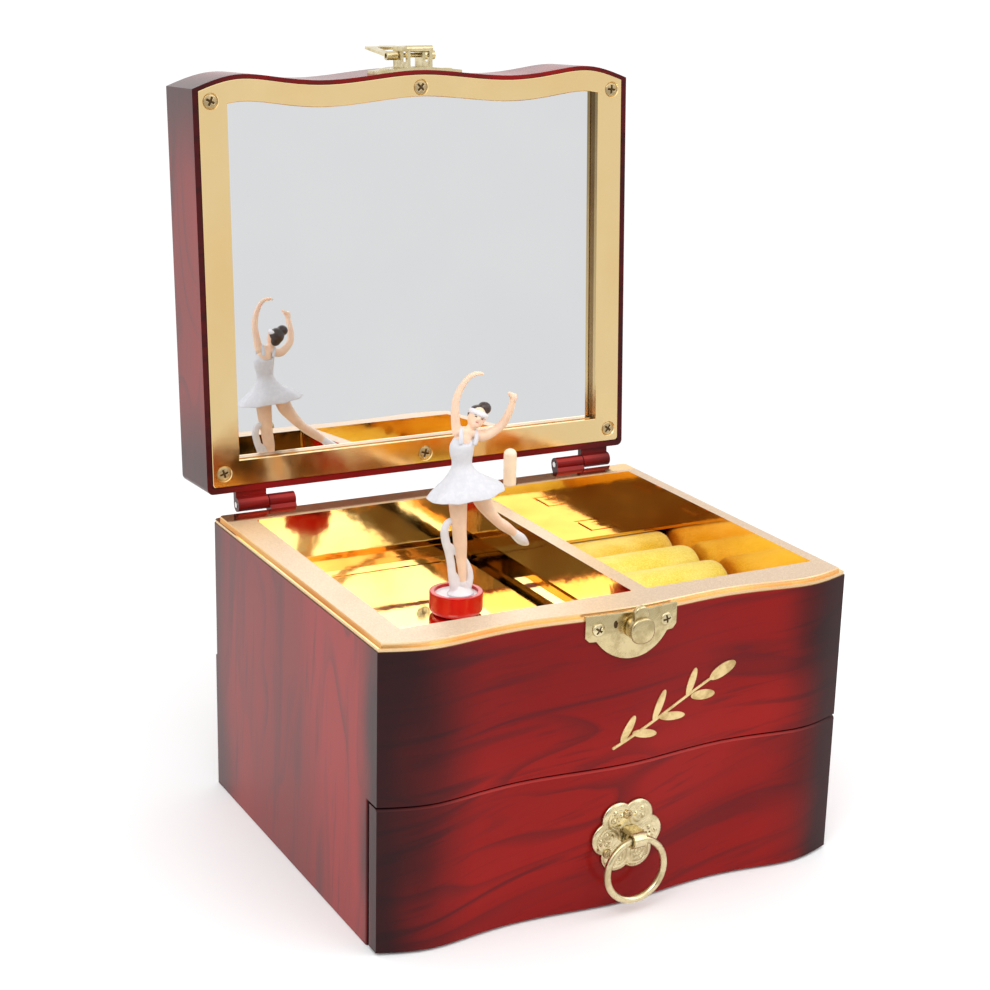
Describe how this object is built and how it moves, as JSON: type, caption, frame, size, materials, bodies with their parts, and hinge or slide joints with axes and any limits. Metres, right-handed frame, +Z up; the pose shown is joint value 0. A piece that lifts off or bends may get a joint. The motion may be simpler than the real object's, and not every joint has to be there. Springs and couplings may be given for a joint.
{
  "type": "ballerina music box",
  "caption": "Open jewellery music box with a serpentine front, mirrored lid, dancer on a gilt stage, ring cushion, ring-pull drawer, hasp latch and lid-stop peg.",
  "frame": {"origin": "centre of the case's underside, at the resting surface", "axes": "+Z up, the drawer and latch face -Y, +X to the right as seen from the front"},
  "size_m": [0.16, 0.1812, 0.2454],
  "materials": {
    "cherry_lacquer": "high-gloss lacquer",
    "gilt": "mirror gilt",
    "lid_gold": "satin",
    "champagne": "polished",
    "velvet": "velvet",
    "board": "raw",
    "screw_steel": "polished",
    "spring_steel": "satin",
    "cast_bed": "cast",
    "movement_brass": "satin",
    "silvered": "polished",
    "black_plastic": "matte",
    "cream_plastic": "satin",
    "red_plastic": "gloss",
    "white_plastic": "satin",
    "skin_plastic": "satin",
    "dress_plastic": "fine sparkle",
    "hair_plastic": "satin",
    "magnet": "plain"
  },
  "bodies": {
    "case": {"case_shell": "cherry_lacquer", "case_base": "board", "base_screws": "screw_steel", "drawer_shelf": "board", "drawer_runners": "board", "gilt_tray": "gilt", "stage_tub": "gilt", "stage_plate": "gilt", "ring_pad_base": "board", "ring_roll_1": "velvet", "ring_roll_2": "velvet", "ring_roll_3": "velvet", "ring_roll_4": "velvet", "ring_roll_5": "velvet", "peg_guide": "black_plastic", "latch_plate": "champagne", "latch_screws": "champagne", "front_ornament": "gilt", "hinge_pins": "spring_steel", "bedplate": "cast_bed", "movement_screws": "screw_steel", "music_comb": "spring_steel", "comb_screws": "screw_steel", "spring_barrel": "movement_brass", "gear_case": "black_plastic"},
    "lid": {"lid_shell": "cherry_lacquer", "lid_frame": "lid_gold", "lid_frame_screws": "screw_steel", "lid_mirror": "silvered", "mirror_board": "board", "mirror_surround": "gilt", "hasp_leaf": "champagne", "hasp_rivets": "champagne", "hasp_pin": "champagne"},
    "hasp": {"hasp_flap": "champagne"},
    "catch": {"latch_catch": "champagne"},
    "drawer": {"drawer_front": "cherry_lacquer", "drawer_box": "board", "drawer_lining": "velvet", "drawer_screws": "screw_steel", "pull_rosette": "champagne", "rosette_screws": "champagne", "pull_staple": "champagne"},
    "ring": {"pull_ring": "champagne"},
    "key": {"winding_key": "screw_steel"},
    "cylinder": {"music_cylinder": "movement_brass"},
    "wheel": {"train_wheel": "movement_brass"},
    "fan": {"governor": "black_plastic"},
    "peg": {"stop_peg": "cream_plastic"},
    "drive_arm": {"magnet_arm": "black_plastic"},
    "magnet": {"dancer_magnet": "magnet"},
    "dancer": {"dancer_cup": "red_plastic", "dancer_disc": "white_plastic", "dancer_prop": "white_plastic", "dancer_legs": "skin_plastic", "dancer_slippers": "white_plastic", "dancer_dress": "dress_plastic", "dancer_torso": "skin_plastic", "dancer_hair": "hair_plastic"}
  },
  "joints": [
    {"name": "lid_hinge", "type": "hinge", "parent": "case", "child": "lid", "pos_m": [0, 0.0694, 0.097], "axis": [1, 0, 0], "range_deg": [0, 93.1]},
    {"name": "hasp_flap", "type": "hinge", "parent": "lid", "child": "hasp", "pos_m": [0, 0.08494, 0.24163], "axis": [1, 0, 0], "range_deg": [0, 160]},
    {"name": "latch_catch", "type": "hinge", "parent": "case", "child": "catch", "pos_m": [0, -0.0735, 0.091], "axis": [0, 1, 0], "range_deg": [0, 90]},
    {"name": "drawer_slide", "type": "slide", "parent": "case", "child": "drawer", "axis": [0, -1, 0], "range_m": [0, 0.085]},
    {"name": "pull_ring_swing", "type": "hinge", "parent": "drawer", "child": "ring", "pos_m": [0.001, -0.0754, 0.0244], "axis": [-1, 0, 0], "range_deg": [0, 75]},
    {"name": "winding_key_turn", "type": "hinge", "parent": "case", "child": "key", "pos_m": [0.026, 0.07, 0.0515], "axis": [0, 1, 0], "continuous": true},
    {"name": "cylinder_turn", "type": "hinge", "parent": "case", "child": "cylinder", "pos_m": [0.026, 0, 0.0515], "axis": [0, 1, 0], "continuous": true},
    {"name": "train_wheel_turn", "type": "hinge", "parent": "case", "child": "wheel", "pos_m": [0.0376, -0.025, 0.0515], "axis": [0, 1, 0], "continuous": true},
    {"name": "governor_spin", "type": "hinge", "parent": "case", "child": "fan", "pos_m": [0.05, -0.014, 0.05], "axis": [0, 0, 1], "continuous": true},
    {"name": "stop_peg_slide", "type": "slide", "parent": "case", "child": "peg", "axis": [0, 0, 1], "range_m": [-0.0129, 0]},
    {"name": "dancer_glide", "type": "hinge", "parent": "case", "child": "drive_arm", "pos_m": [-0.0305, -0.001, 0.07], "axis": [0, 0, 1], "continuous": true},
    {"name": "dancer_shift", "type": "slide", "parent": "drive_arm", "child": "magnet", "axis": [0, 0.9957, 0.0929], "range_m": [0, 0.0377]},
    {"name": "dancer_tip", "type": "hinge", "parent": "magnet", "child": "dancer", "pos_m": [-0.0258, -0.0125, 0.0793], "axis": [1, 0, 0], "range_deg": [0, 90.1]}
  ],
  "couplings": [
    {"joint": "stop_peg_slide", "follows": "lid_hinge", "m_per_rad": -0.007877},
    {"joint": "dancer_shift", "follows": "lid_hinge", "m_per_rad": 0.023177},
    {"joint": "dancer_tip", "follows": "lid_hinge", "ratio": 0.9667},
    {"joint": "dancer_glide", "follows": "cylinder_turn", "ratio": 4},
    {"joint": "train_wheel_turn", "follows": "cylinder_turn", "ratio": -4},
    {"joint": "governor_spin", "follows": "cylinder_turn", "ratio": 8}
  ]
}
